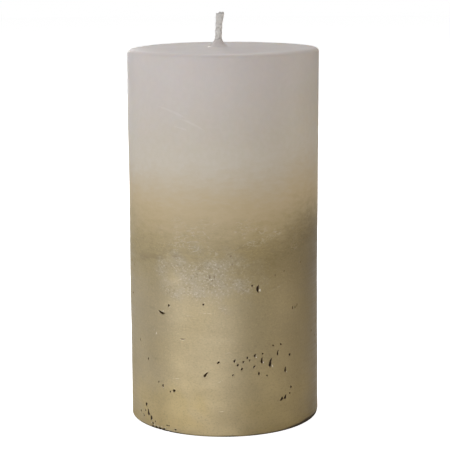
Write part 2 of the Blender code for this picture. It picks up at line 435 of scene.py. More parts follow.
def refine(mesh, outline, marks, levels):
    """Halve the cells near the marks, again and again, on the outline's wall."""
    along, table = outline.arrays()
    for distance in NEAR_ENOUGH[:levels]:
        centres = np.empty(len(mesh.polygons) * 3)
        mesh.polygons.foreach_get("center", centres)
        degrees, way = centres.reshape(-1, 3)[:, :2].T
        z = np.interp(way, along, table[:, 1])
        wall = np.interp(way, along, table[:, 2]) > 0.5
        chosen = np.zeros(len(degrees), bool)
        for mark in marks:
            if mark.kind != "smear":
                chosen |= mark.gap(degrees, z) < distance
        chosen &= wall
        bm = bmesh.new()
        bm.from_mesh(mesh)
        bm.faces.ensure_lookup_table()
        edges = {edge for index in np.flatnonzero(chosen) for edge in bm.faces[index].edges}
        bmesh.ops.subdivide_edges(
            bm, edges=sorted(edges, key=lambda e: e.index), cuts=1,
            use_grid_fill=True, use_single_edge=True,
        )
        bm.to_mesh(mesh)
        bm.free()


def add_field(mesh, name, values):
    attribute = mesh.attributes.new(name, "FLOAT", "POINT")
    attribute.data.foreach_set("value", np.asarray(values, np.float32))


def add_bake_map(mesh, outline, shown_to, share=0.94):
    """A map of the strip for later baking: the shown rows fill most of it, the hidden rows a band."""
    along, _ = outline.arrays()
    points = mesh_points(mesh)
    corners = np.empty(len(mesh.loops), np.int32)
    mesh.loops.foreach_get("vertex_index", corners)
    u = points[corners, 0] / 360.0 + 0.5
    v = np.interp(points[corners, 1], [0.0, shown_to, along[-1]], [1.0, 1.0 - share, 0.0])
    layer = mesh.uv_layers.new(name="OFBake")
    layer.data.foreach_set("uv", np.stack([u, v], axis=1).astype(np.float32).ravel())


def unrolled(mesh, outline):
    """Each point's degrees and way along the outline, and its radius, height, wall and top there."""
    along, table = outline.arrays()
    degrees, way, _ = mesh_points(mesh).T
    return degrees, way, *(np.interp(way, along, table[:, i]) for i in range(4))


def wrapped(degrees, r, z, shift=0.0):
    """Points at the radius and height, round an axis that is shifted towards +X."""
    turn = np.radians(degrees)
    return np.stack([shift + r * np.sin(turn), -r * np.cos(turn), z], axis=1)


def close_up(mesh, points):
    """Write the points in metres, join the strip's edges and shade it smooth."""
    mesh.vertices.foreach_set("co", (points * MM).astype(np.float32).ravel())
    bm = bmesh.new()
    bm.from_mesh(mesh)
    bmesh.ops.remove_doubles(bm, verts=bm.verts, dist=0.000004)
    bmesh.ops.recalc_face_normals(bm, faces=bm.faces)
    bm.to_mesh(mesh)
    bm.free()
    mesh.shade_smooth()
    mesh.update()


def new_piece(name, mesh, material, node):
    """Put a finished mesh in the scene as a piece that stands for its CAD node."""
    piece = bpy.data.objects.new(name, mesh)
    bpy.context.scene.collection.objects.link(piece)
    mesh.materials.append(material)
    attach(piece, "root")
    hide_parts(node)


# ---- node helpers

class Graph:
    """Short forms for one material's nodes."""

    def __init__(self, name):
        self.material = bpy.data.materials.new(name)
        self.material.use_nodes = True
        self.tree = self.material.node_tree
        self.shader = self.tree.nodes["Principled BSDF"]
        coordinates = self.tree.nodes.new("ShaderNodeTexCoord")
        self.place = self.vector("MULTIPLY", coordinates.outputs["Object"], (1 / MM, 1 / MM, 1 / MM))
        parts = self.tree.nodes.new("ShaderNodeSeparateXYZ")
        self.tree.links.new(self.place, parts.inputs[0])
        self.z = parts.outputs["Z"]

    def put(self, socket, value):
        if isinstance(value, bpy.types.NodeSocket):
            self.tree.links.new(value, socket)
        elif value is not None:
            socket.default_value = value

    def set(self, name, value):
        self.put(self.shader.inputs[name], value)

    def math(self, operation, a, b=None, clamp=False):
        node = self.tree.nodes.new("ShaderNodeMath")
        node.operation = operation
        node.use_clamp = clamp
        self.put(node.inputs[0], a)
        self.put(node.inputs[1], b)
        return node.outputs[0]

    def times(self, a, b):
        return self.math("MULTIPLY", a, b)

    def vector(self, operation, a, b):
        node = self.tree.nodes.new("ShaderNodeVectorMath")
        node.operation = operation
        self.put(node.inputs[0], a)
        self.put(node.inputs[1], b)
        return node.outputs[0]

    def stretched(self, x, y, z):
        """The place in millimetres, scaled along each axis."""
        return self.vector("MULTIPLY", self.place, (x, y, z))

    def node(self, kind, inputs):
        """A new node, with values or links for its inputs."""
        node = self.tree.nodes.new(kind)
        for name, value in inputs.items():
            self.put(node.inputs[name], value)
        return node

    def noise(self, vector, scale, detail=2.0, roughness=0.5, distortion=0.0):
        return self.node("ShaderNodeTexNoise", {
            "Vector": vector, "Scale": scale, "Detail": detail, "Roughness": roughness,
            "Distortion": distortion,
        }).outputs["Fac"]

    def streaky(self, scales, *details):
        """Noise with a scale of its own along each axis."""
        return self.noise(self.stretched(*scales), 1.0, *details)

    def cells(self, vector, scale):
        """The distance from the middle of the nearest cell."""
        return self.node("ShaderNodeTexVoronoi", {"Vector": vector, "Scale": scale}).outputs["Distance"]

    def ramp(self, value, low, high, to_low=0.0, to_high=1.0):
        """A soft step from to_low at low to to_high at high."""
        node = self.node("ShaderNodeMapRange", {
            "Value": value, "From Min": low, "From Max": high, "To Min": to_low, "To Max": to_high,
        })
        node.interpolation_type = "SMOOTHSTEP"
        return node.outputs["Result"]

    def mix(self, factor, a, b, blend="MIX"):
        node = self.tree.nodes.new("ShaderNodeMix")
        node.data_type = "RGBA"
        node.blend_type = blend
        for socket, value in ((node.inputs[0], factor), (node.inputs[6], a), (node.inputs[7], b)):
            if isinstance(value, tuple):
                value = (*value, 1.0)
            self.put(socket, value)
        return node.outputs[2]

    def blend(self, factor, a, b):
        """The number a where the factor is 0 and b where it is 1."""
        node = self.tree.nodes.new("ShaderNodeMix")
        for socket, value in ((node.inputs[0], factor), (node.inputs[2], a), (node.inputs[3], b)):
            self.put(socket, value)
        return node.outputs[0]

    def field(self, name):
        node = self.tree.nodes.new("ShaderNodeAttribute")
        node.attribute_name = name
        return node.outputs["Fac"]

    def bump(self, height, strength, distance, normal=None):
        return self.node("ShaderNodeBump", {
            "Strength": strength, "Distance": distance * MM, "Height": height, "Normal": normal,
        }).outputs["Normal"]


# ---- colours (linear)

IVORY = (0.66, 0.607, 0.585)  # the wax near the rim
IVORY_LOW = (0.627, 0.567, 0.474)  # the wax just above the overspray
HONEY = (0.565, 0.450, 0.276)  # wax seen through the thinnest lacquer
GOLD_DULL = (0.385, 0.305, 0.158)  # the first, dull stretch of the coat
GOLD = (0.45, 0.355, 0.185)
GOLD_BROWN = (0.20, 0.145, 0.068)
WARM_TINT = (1.0, 0.96, 0.74)  # the coat is multiplied by this where it is browner: in patches, and as painted shade on the front right and at the left edge
PAINTED_SHADE = (0.070, 0.038, 0.000)  # painted shade: the coat darkens towards this on the right and at the left
# Greyer, paler lacquer where it is frosted; on the front also a painted highlight
FROST_AND_PAINTED_HIGHLIGHT = (0.46, 0.40, 0.30)
PALE_METAL = (0.70, 0.63, 0.49)
# Bare wax in chips, also painted as the highlight of the glints
BARE_WAX_AND_PAINTED_GLINT = (0.85, 0.79, 0.68)
SCRATCHED_WAX = (0.80, 0.75, 0.72)
PIT_BROWN = (0.040, 0.022, 0.008)
PIT_EDGE = (0.19, 0.125, 0.055)
# Painted shadow along the base's edge
PAINTED_FOOT_SHADOW = (0.055, 0.040, 0.024)
GOLD_METALLIC = 0.72
GOLD_ROUGHNESS = 0.44
GOLD_GLOSS = 1.0  # weight of the clear layer over the gold
GLOSS_ROUGHNESS = 0.34
GLOSS_IOR = 1.9
WAX_ROUGHNESS = 0.50
WAX_IOR = 1.44
# Paler than the ivory wax: painted light that offsets the shade on the wick's cone
SEAL_WAX_PAINTED_LIGHTER = (0.72, 0.665, 0.645)
CORE_WAX = (0.70, 0.64, 0.55)


def toned(colour, factor):
    """A colour made lighter or darker."""
    return tuple(min(1.0, c * factor) for c in colour)


class Finish:
    """The wall's look before any marks: wax, then a veil of lacquer, dull gold and bright gold, which
    grows lighter towards the foot as painted bounce light.
    """

    def __init__(self, g):
        wander = g.streaky((0.022, 0.022, 0.03), 1.0)
        ragged = g.streaky((0.22, 0.22, 0.55), 4.0, 0.62)
        height = g.math("SUBTRACT", g.z, g.field("veil"))
        height = g.math("ADD", height, g.ramp(wander, 0.3, 0.7, -1.5, 1.5))
        self.height = g.math("ADD", height, g.ramp(ragged, 0.25, 0.75, -2.2, 2.2))
        self.streaks = g.streaky((0.06, 0.06, 1.6), 4.0, 0.6)
        self.grain = g.noise(g.stretched(1.0, 1.0, 1.25), 1.35, 3.0, 0.7)
        clouds = g.streaky((0.07, 0.07, 0.06), 3.0, 0.55)

        wax = g.mix(g.ramp(height, HEIGHT - 4.0, COAT_TOP), IVORY, IVORY_LOW)
        mottle = g.noise(g.place, 0.55, 3.0)
        wax = g.mix(g.ramp(mottle, 0.35, 0.7, 0.0, 0.16), wax, toned(IVORY, 1.1))

        gold = g.mix(g.ramp(self.height, 66.0, 50.0), GOLD_DULL, GOLD)
        # Painted light: the first row makes the gold lighter towards the foot, standing in for light
        # bounced off the floor; the others vary its tone at random
        for source, low, high, share, tone in (
            (self.height, 42.0, 2.0, 1.0, 1.42), (clouds, 0.32, 0.72, 0.5, 0.86),
            (self.streaks, 0.42, 0.75, 0.28, 1.2), (self.grain, 0.50, 0.68, 0.36, 0.62),
            (self.grain, 0.46, 0.32, 0.46, 1.3),
        ):
            gold = g.mix(g.ramp(source, low, high, 0.0, share), gold, toned(GOLD, tone))
        crinkle = g.streaky((0.55, 0.55, 2.0), 3.0, 0.6, 0.8)
        creased = g.ramp(crinkle, 0.50, 0.62, 0.0, 0.62)
        creased = g.times(g.ramp(self.height, 58.0, 66.0), creased)
        gold = g.mix(creased, gold, toned(GOLD_DULL, 0.76))

        self.share = g.ramp(self.height, 84.0, 62.0)
        veiled = g.mix(g.ramp(self.height, 101.0, 79.0), wax, HONEY)
        self.colour = g.mix(self.share, veiled, gold)
        bright = g.ramp(self.height, 70.0, 50.0)
        self.metal = g.times(bright, GOLD_METALLIC)
        self.gloss = g.times(bright, GOLD_GLOSS)

        handled = g.streaky((0.12, 0.12, 0.10), 3.0)
        wax_rough = g.ramp(handled, 0.25, 0.75, WAX_ROUGHNESS - 0.05, WAX_ROUGHNESS + 0.06)
        gold_rough = g.ramp(self.streaks, 0.25, 0.75, GOLD_ROUGHNESS - 0.06, GOLD_ROUGHNESS + 0.08)
        self.rough = g.blend(self.share, wax_rough, gold_rough)

        soft = g.noise(g.place, 0.25, 2.0)
        fine = g.streaky((0.8, 0.8, 1.9), 3.0, 0.6, 0.6)
        normal = g.bump(soft, 0.25, 0.25)
        self.normal = g.bump(fine, 0.30, 0.05, normal)

        # The same all over the wall, so that the wax and the coat meet without a line
        g.set("IOR", WAX_IOR)
        g.set("Coat Roughness", GLOSS_ROUGHNESS)
        g.set("Coat IOR", GLOSS_IOR)


def make_wax_material():
    """The over-dip: satin ivory wax, tinted by overspray near the coat."""
    g = Graph("ivory wax")
    finish = Finish(g)
    scratch = g.field("scuff")
    g.set("Base Color", g.mix(g.times(scratch, 0.22), finish.colour, SCRATCHED_WAX))
    g.set("Metallic", finish.metal)
    g.set("Coat Weight", finish.gloss)
    g.set("Roughness", finish.rough)
    g.set("Subsurface Radius", (0.9, 0.6, 0.35))
    g.set("Subsurface Scale", MM)
    g.set("Subsurface Weight", g.ramp(g.z, COAT_TOP, COAT_TOP + 12.0, 0.0, 0.35))
    g.set("Normal", g.bump(scratch, 0.3, 0.03, finish.normal))
    return g.material


def make_coat_material():
    """The gold lacquer: streaked, frosted below its border, pitted and scuffed, with painted shade on
    the front right and the left edge, painted highlights in the frost and the glints, and a painted
    shadow along the foot.
    """
    g = Graph("gold lacquer")
    finish = Finish(g)
    # Browner in patches, and browner on the front right and at the left edge as painted shade
    warm_tone_and_painted_shade = g.times(g.field("warm_tone_and_painted_shade"), finish.share)
    base = g.mix(warm_tone_and_painted_shade, finish.colour, WARM_TINT, "MULTIPLY")
    # Painted shade: darker and browner on the front right and at the left edge
    base = g.mix(g.times(g.field("painted_shade"), finish.share), base, PAINTED_SHADE)
    base = g.mix(g.times(g.field("dull"), finish.share), base, GOLD_DULL)

    ridge = g.streaky((0.24, 0.24, 0.60), 1.5, 0.5, 1.6)
    crease = g.ramp(g.math("ABSOLUTE", g.math("SUBTRACT", ridge, 0.5)), 0.050, 0.010)
    band = g.times(g.ramp(finish.height, 59.0, 64.0), g.ramp(finish.height, 84.0, 72.0))
    crease = g.times(crease, band)
    crease = g.times(crease, g.ramp(g.noise(g.place, 0.16, 2.0), 0.46, 0.60))
    crease = g.times(crease, g.field("crease"))
    base = g.mix(g.times(crease, 0.42), base, PALE_METAL)

    # Frosted lacquer with pale and dark flakes; on the front the grey patch and the pale flakes are
    # also a painted highlight and painted sparkle
    frost_and_painted_highlight = g.field("frost_and_painted_highlight")
    flakes = g.noise(g.stretched(1.0, 1.0, 1.3), 1.2, 3.0, 0.7)
    patchy = g.ramp(g.streaky((0.22, 0.22, 0.3), 3.0, 0.6), 0.3, 0.7, 0.25, 0.65)
    lit_flake = g.times(g.ramp(flakes, 0.54, 0.66), frost_and_painted_highlight)
    dark_flake = g.times(g.ramp(flakes, 0.44, 0.32), frost_and_painted_highlight)
    base = g.mix(g.times(frost_and_painted_highlight, patchy), base, FROST_AND_PAINTED_HIGHLIGHT)
    base = g.mix(g.times(lit_flake, 0.62), base, PALE_METAL)
    base = g.mix(g.times(dark_flake, 0.60), base, GOLD_BROWN)

    scuff, glint = g.field("scuff"), g.field("glint")
    broken = g.ramp(g.noise(g.place, 1.4, 3.0, 0.7), 0.42, 0.62)
    base = g.mix(g.times(scuff, g.times(broken, 0.36)), base, PALE_METAL)
    smear = g.times(g.field("smear"), g.ramp(finish.streaks, 0.3, 0.7, 0.12, 0.45))
    base = g.mix(smear, base, GOLD_BROWN)
    pit = g.field("pit")
    base = g.mix(g.times(g.field("dimple"), 0.6), base, PIT_EDGE)
    base = g.mix(g.ramp(pit, 0.0, 0.55), base, PIT_EDGE)
    base = g.mix(g.ramp(pit, 0.35, 0.9), base, PIT_BROWN)
    # Painted shadow along the base's edge, tallest on the front right
    base = g.mix(g.field("foot"), base, PAINTED_FOOT_SHADOW)
    # Glints: bare wax, and a painted highlight on the pits' lower right lips
    base = g.mix(glint, base, BARE_WAX_AND_PAINTED_GLINT)
    g.set("Base Color", base)

    bare = g.math("MAXIMUM", g.math("MAXIMUM", pit, glint), g.field("foot"))
    coated = g.math("SUBTRACT", 1.0, bare, clamp=True)
    matt = g.math("ADD", g.field("matt"), g.times(frost_and_painted_highlight, 0.5))
    worn = g.math("SUBTRACT", 1.0, matt, clamp=True)
    g.set("Metallic", g.times(g.times(finish.metal, coated), worn))
    g.set("Coat Weight", g.times(g.times(finish.gloss, coated), worn))
    rough = g.math("ADD", finish.rough, g.times(bare, 0.35))
    g.set("Roughness", g.math("ADD", rough, g.times(frost_and_painted_highlight, 0.08), clamp=True))

    brushed = g.streaky((0.10, 0.10, 3.2), 3.0, 0.6)
    normal = g.bump(g.times(brushed, finish.share), 0.30, 0.05, finish.normal)
    normal = g.bump(g.times(finish.grain, finish.share), 0.5, 0.06, normal)
    normal = g.bump(g.times(flakes, frost_and_painted_highlight), 0.45, 0.14, normal)
    normal = g.bump(crease, 0.5, 0.08, normal)
    g.set("Normal", normal)
    g.set("Coat Normal", normal)
    return g.material


def make_plain_wax(name, colour, roughness):
    """Wax of the core and the seals: mottled, with pressed grains."""
    g = Graph(name)
    grains = g.cells(g.place, 0.8)
    cloud = g.noise(g.place, 0.12, 3.0)
    tone = g.mix(g.ramp(cloud, 0.3, 0.7), colour, toned(colour, 0.9))
    g.set("Base Color", g.mix(g.ramp(grains, 0.1, 0.7, 0.0, 0.25), tone, toned(colour, 1.1)))
    g.set("Roughness", g.ramp(cloud, 0.3, 0.7, roughness - 0.05, roughness + 0.08))
    g.set("IOR", WAX_IOR)
    g.set("Normal", g.bump(grains, 0.3, 0.08))
    return g.material


def make_cotton_material():
    """Waxed cotton yarn: greyish white, darker between the fibres, with a dusty cut end."""
    g = Graph("wick cotton")
    fibres = g.streaky((9.0, 9.0, 1.6), 3.0, 0.6)
    cloud = g.noise(g.place, 0.6, 2.0)
    tone = g.mix(g.ramp(fibres, 0.3, 0.7), (0.66, 0.64, 0.62), (0.80, 0.79, 0.77))
    tone = g.mix(g.ramp(cloud, 0.3, 0.7, 0.0, 0.30), tone, (0.62, 0.59, 0.56))
    cut_end = g.ramp(g.z, WICK_TOP - 1.3, WICK_TOP - 0.6)
    g.set("Base Color", g.mix(g.times(cut_end, 0.35), tone, (0.34, 0.33, 0.32)))
    g.set("Roughness", g.ramp(fibres, 0.3, 0.7, 0.72, 0.92))
    g.set("Sheen Weight", 0.25)
    g.set("Normal", g.bump(fibres, 0.5, 0.05))
    return g.material


def make_steel_material():
    """Tinned steel of the sustainer, with faint rolling lines."""
    g = Graph("tinned steel")
    lines = g.streaky((0.4, 6.0, 0.4), 3.0)
    g.set("Base Color", g.mix(g.ramp(lines, 0.3, 0.7), (0.52, 0.52, 0.50), (0.68, 0.68, 0.66)))
    g.set("Metallic", 1.0)
    g.set("Roughness", g.ramp(lines, 0.3, 0.7, 0.28, 0.42))
    g.set("Normal", g.bump(lines, 0.2, 0.02))
    return g.material


# ---- the wax skin

WAX_SCRATCHES = [
    Mark("scuff", -31, 116.6, 0.45, 6.0, 107), Mark("scuff", -18, 112.6, 0.40, 4.4, 113),
    Mark("scuff", -25, 111.0, 0.30, 3.0, 100), Mark("scuff", 61, 121.0, 0.11, 2.2, 40),
    Mark("scuff", 120, 112.0, 0.12, 4.0, 70), Mark("scuff", -130, 117.0, 0.12, 3.6, 110),
]


def wax_outline():
    """From the wick's hole over the top face, down the wall, and back up the inside."""
    outline = Outline()
    rim_r, rim_z = RADIUS - RIM_ROUNDING, HEIGHT - RIM_ROUNDING
    inner = RADIUS - COAT_DEPTH - SKIN
    outline.run((HOLE_RADIUS, HEIGHT), (6.0, HEIGHT), 0.35, top=1.0)
    outline.run((6.0, HEIGHT), (rim_r, HEIGHT), 0.9, top=1.0)
    for step in range(1, RIM_STEPS + 1):
        share = step / RIM_STEPS
        angle = math.radians(90.0 * (1.0 - share))
        r = rim_r + RIM_ROUNDING * math.cos(angle)
        z = rim_z + RIM_ROUNDING * math.sin(angle)
        outline.add(r, z, wall=share, top=1.0 - share)
    outline.run((RADIUS, rim_z), (RADIUS, COAT_TOP - 8.0), CELL, wall=1.0)
    outline.run((RADIUS, COAT_TOP - 9.0), (RADIUS, 0.6), 12.0, wall=1.0)
    outline.add(RADIUS - 0.5, 0.0, wall=1.0)
    outline.run((inner, 0.0), (inner, HEIGHT - SKIN), 30.0)
    outline.run((inner, HEIGHT - SKIN), (HOLE_RADIUS, HEIGHT - SKIN), 12.0)
    outline.add(HOLE_RADIUS, HEIGHT)
    return outline


def make_wax_skin():
    """The over-dip: top face, soft rim and bare wall, with its hidden part under the coat."""
    outline = wax_outline()
    mesh = wrapped_grid("wax_skin", outline, SKIN_COLUMNS)
    refine(mesh, outline, WAX_SCRATCHES, 2)
    degrees, _, r, z, wall, top = unrolled(mesh, outline)
    height, fields = mark_fields(WAX_SCRATCHES, degrees, z)
    under = FEATHER * smooth(COAT_TOP - 1.0, COAT_TOP - 1.0 - FEATHER_LENGTH, z)
    under = under + (COAT_DEPTH + 0.05) * smooth(COAT_TOP - 4.0, COAT_TOP - 9.0, z)
    out = wall * (wall_shape(degrees, z) - under + 0.4 * height)
    left = bell_round(degrees, -120.0, 62.0)
    back = bell_round(degrees, 180.0, 90.0)
    rim_drop = -(0.36 * left + 0.50 * back) * smooth(RADIUS - 5.0, RADIUS, r)
    rim_drop = rim_drop * smooth(HEIGHT - 6.0, HEIGHT, z)
    up = top * top_shape(degrees, r) + rim_drop
    shift = np.where(wall > 0.0, 0.0, WICK_X * smooth(14.0, HOLE_RADIUS, r))
    add_field(mesh, "scuff", fields["scuff"])
    add_field(mesh, "veil", veil_lift(degrees, z))
    along, table = outline.arrays()
    bare_rows = np.flatnonzero(table[:, 1] > COAT_TOP - 8.5)
    shown = along[bare_rows[table[bare_rows, 2] > 0.5].max()]
    add_bake_map(mesh, outline, shown)
    close_up(mesh, wrapped(degrees, r + out, z + up, shift))
    new_piece("wax_overdip", mesh, make_wax_material(), "overdip_shell")


# ---- the gold coat

def coat_outline():
    """Down the coat's face, round its foot, and back up its hidden inner side."""
    outline = Outline()
    outline.run((RADIUS, COAT_TOP), (RADIUS, 4.0), CELL, wall=1.0)
    outline.run((RADIUS, 4.0), (RADIUS, COAT_FOOT + FOOT_ROUNDING), 0.4, wall=1.0)
    for step in range(1, FOOT_STEPS + 1):
        angle = math.radians(90.0 * step / FOOT_STEPS)
        r = RADIUS - FOOT_ROUNDING * (1 - math.cos(angle))
        z = COAT_FOOT + FOOT_ROUNDING * (1 - math.sin(angle))
        outline.add(r, z, wall=1.0)
    inner = RADIUS - COAT_DEPTH
    outline.add(inner + 0.3, COAT_FOOT, wall=1.0)
    outline.run((inner, 3.0), (inner, COAT_TOP - 9.0), 30.0)
    outline.add(RADIUS - 0.25, COAT_TOP - 1.0)
    outline.add(RADIUS, COAT_TOP, wall=1.0)
    return outline


# Frosted patches, the two on the front also a painted highlight where the lacquer glitters: degrees
# round, height, half width in degrees, half height, strength
FROST_AND_PAINTED_HIGHLIGHT_PATCHES = [
    (-13, 58, 31, 9.5, 1.0), (8, 57, 17, 9, 0.38), (96, 60, 16, 7, 0.3),
    (128, 57, 28, 8, 0.8), (-168, 60, 22, 6, 0.5), (-118, 58, 26, 9, 0.85),
]


def painted_coat_shade(degrees, z):
    """How far the coat's colour is darkened as painted shade: most on the front right, less at the far
    left.
    """
    right = 0.43 * smooth(4.0, 64.0, degrees) + 0.15 * smooth(50.0, 72.0, degrees)
    right = right + 0.13 * bell(z, 62.0, 13.0) * smooth(-24.0, 16.0, degrees)
    right = right + 0.09 * smooth(52.0, 30.0, z) * smooth(-14.0, 40.0, degrees)
    left = (0.20 + 0.12 * smooth(40.0, 20.0, z)) * bell_round(degrees, -82.0, 20.0)
    return right * smooth(128.0, 80.0, degrees) + left


def tone_fields(degrees, z):
    """Slow changes of the coat: frosted, with a painted highlight on the front; browner; dull; darkened
    as painted shade on the front right and the left edge; matt; creased; and a painted shadow along the
    foot.
    """
    ragged = ripple(degrees, z, 7.0, seed=11, flatness=1.5)
    coarse = ripple(degrees, z, 22.0, seed=12, flatness=1.6)

    def patch(at, height, wide, tall):
        inside = np.hypot(turned_by(degrees, at) / wide, (z - height) / tall)
        return 1.0 - smooth(0.45, 1.20, inside + 0.16 * ragged)

    # Frosted patches; the two on the front also carry a painted highlight
    frost_and_painted_highlight = np.zeros(len(degrees))
    for *place, strength in FROST_AND_PAINTED_HIGHLIGHT_PATCHES:
        frost_and_painted_highlight = np.maximum(frost_and_painted_highlight, strength * patch(*place))
    # Browner low on the left and at random, and browner on the front right and at the left edge as
    # painted shade
    warm_tone_and_painted_shade = 0.7 * patch(-38.0, 9.0, 30.0, 10.0) + 0.5 * smooth(-5.0, 30.0, degrees)
    warm_tone_and_painted_shade = warm_tone_and_painted_shade + 0.8 * bell_round(degrees, -82.0, 24.0)
    warm_tone_and_painted_shade = np.minimum(warm_tone_and_painted_shade + 0.25 * smooth(0.4, 1.6, coarse), 1.0)
    band = bell(z + 1.2 * ragged, 65.5, 3.2)
    dull = 0.15 * band * smooth(-0.6, 0.8, coarse) + 0.18 * patch(-50.0, 63.5, 16.0, 2.8)
    # Painted shade on the front right and the left edge, where the coat is also less metallic and
    # glossy
    painted_shade = painted_coat_shade(degrees, z)
    matt = np.minimum(2.0 * painted_shade, 0.9) + 0.3 * bell_round(degrees, -92.0, 30.0)
    crease = (0.4 + 0.6 * patch(0.0, 71.0, 38.0, 9.0)) * smooth(70.0, 24.0, np.abs(degrees - 4.0))
    crease = np.maximum(crease, 0.5 * smooth(100.0, 130.0, np.abs(degrees)))
    # Painted shadow: a dark band along the foot
    line = foot_wear_and_shadow_band(degrees) + 0.08 * ragged
    foot = 1.0 - smooth(line - 0.25, line + 0.25, z)
    return {
        "frost_and_painted_highlight": frost_and_painted_highlight, "warm_tone_and_painted_shade": warm_tone_and_painted_shade, "dull": dull, "foot": foot,
        "veil": veil_lift(degrees, z), "painted_shade": painted_shade, "matt": matt, "crease": crease,
    }


def make_gold_coat():
    """The lacquer sleeve, with every pit, scuff and chip cut into its face."""
    outline = coat_outline()
    marks = all_marks()
    mesh = wrapped_grid("gold_coat", outline, COAT_COLUMNS)
    refine(mesh, outline, marks, len(NEAR_ENOUGH))
    along, table = outline.arrays()
    degrees, way, r, z, wall, _ = unrolled(mesh, outline)
    height, fields = mark_fields(marks, degrees, z)
    wear = foot_wear_and_shadow_band(degrees)
    face = way <= along[-1] * 0.999
    feather = FEATHER * smooth(COAT_TOP - 1.0 - FEATHER_LENGTH, COAT_TOP, z)
    bevel = 0.25 * wear * smooth(1.6 * wear, 0.0, z - COAT_FOOT)
    out = wall * (wall_shape(degrees, z) - feather + height) - bevel
    for name, values in {**fields, **tone_fields(degrees, z)}.items():
        add_field(mesh, name, values * face)
    shown = along[np.flatnonzero(table[:, 1] < COAT_FOOT + 0.01).min()]
    add_bake_map(mesh, outline, shown)
    close_up(mesh, wrapped(degrees, r + out, z))
    new_piece("gold_coat", mesh, make_coat_material(), "gold_lacquer_coat")


# ---- the wick

def tip_width(z):
    """The wick's width against its width lower down: more at its free end."""
    return 1.0 + TIP_SWELL * smooth(WICK_TOP - 4.5, WICK_TOP - 1.0, z)


def plait_centre(index, z):
    """A strand's centre at each height, with the free end's lean and swell."""
    phase = math.tau * (z / PLAIT_PITCH + index / 3)
    lean = np.clip((z - HEIGHT - 3.0) / (WICK_TOP - HEIGHT - 3.0), 0.0, 1.0)
    x = WICK_X + tip_width(z) * PLAIT_HALF_WIDTH * np.sin(phase) + TIP_LEAN * lean ** 2
    y = PLAIT_HALF_DEPTH * np.sin(2 * phase)
    return np.stack([x, y, z], axis=1)


def tube(points, radii, sides):
    """A closed tube along a path: its points and faces."""
    ahead = np.gradient(points, axis=0)
    ahead /= np.linalg.norm(ahead, axis=1, keepdims=True)
    side = np.cross(ahead, [0.0, 1.0, 0.05])
    side /= np.linalg.norm(side, axis=1, keepdims=True)
    other = np.cross(side, ahead)
    turn = np.arange(sides) * math.tau / sides
    ring = np.cos(turn)[:, None] * side[:, None] + np.sin(turn)[:, None] * other[:, None]
    verts = (points[:, None] + radii[:, None, None] * ring).reshape(-1, 3)
    faces = []
    for i in range(len(points) - 1):
        for j in range(sides):
            k = (j + 1) % sides
            faces.append((i * sides + j, i * sides + k, (i + 1) * sides + k, (i + 1) * sides + j))
    faces.append(tuple(range(sides - 1, -1, -1)))
    faces.append(tuple(range((len(points) - 1) * sides, len(points) * sides)))
    return verts, faces


def joined_tubes(name, tubes):
    """One mesh of several tubes, in metres."""
    verts, faces, start = [], [], 0
    for points, polygons in tubes:
        verts.append(points)
        faces += [tuple(start + i for i in face) for face in polygons]
        start += len(points)
    mesh = bpy.data.meshes.new(name)
    mesh.from_pydata((np.concatenate(verts) * MM).tolist(), [], faces)
    mesh.shade_smooth()
    return mesh


def yarn_path(centre, z, index, splay):
    """An outer yarn's way round its strand's centre line. The last stretch of the free end splays."""
    turn = math.tau * (index / OUTER_YARNS + z / 9.0)
    loose = 1.0 + splay * smooth(WICK_TOP - 1.8, WICK_TOP, z)
    x = STRAND_HALF_WIDTH * loose * np.cos(turn)
    y = STRAND_HALF_DEPTH * loose * np.sin(turn)
    return centre + np.stack([x, y, np.zeros_like(z)], axis=1)


def cut_height(x, index):
    """The slanted cut across the wick's end: lower on the left."""
    return WICK_TOP - 0.25 - 0.05 * index - 0.75 * smooth(-0.1, -1.5, x - WICK_X - TIP_LEAN)


def wax_fill(z):
    """The wax that soaks the plait and fills its hollows: a flat bar up the wick's middle."""
    sides = 20
    middle = sum(plait_centre(index, z) for index in range(3)) / 3
    verts, faces = tube(middle, np.ones(len(z)), sides)
    middle = np.repeat(middle, sides, axis=0)
    offset = verts - middle
    offset[:, 0] *= (PLAIT_HALF_WIDTH + 1.05 * STRAND_HALF_WIDTH) * np.repeat(tip_width(z), sides)
    offset[:, 1] *= PLAIT_HALF_DEPTH + 0.98 * STRAND_HALF_DEPTH
    return middle + offset, faces


def wick_rows(end):
    """Heights along a yarn up to its end: far apart inside the candle, close where it shows."""
    hidden = np.arange(WICK_BOTTOM, FINE_ROWS_FROM, 1.1)
    return np.concatenate([hidden, np.linspace(FINE_ROWS_FROM, end, YARN_ROWS)])


def loose_fibre(index, rng):
    """A short fibre that stands out from the plait."""
    root = plait_centre(index, np.array([rng.uniform(HEIGHT + 2.5, WICK_TOP - 0.6)]))[0]
    heading = rng.uniform(0.0, math.tau)
    out = np.array([math.cos(heading), math.sin(heading), 0.0])
    rise = np.array([0.0, 0.0, rng.uniform(-0.2, 0.9)])
    reach = rng.uniform(0.15, 0.35)
    t = np.linspace(0.0, 1.0, 6)[:, None]
    path = root + out * (0.44 + reach * t) + rise * t * t * reach * 1.5
    return tube(path, np.linspace(0.018, 0.008, len(path)), 3)


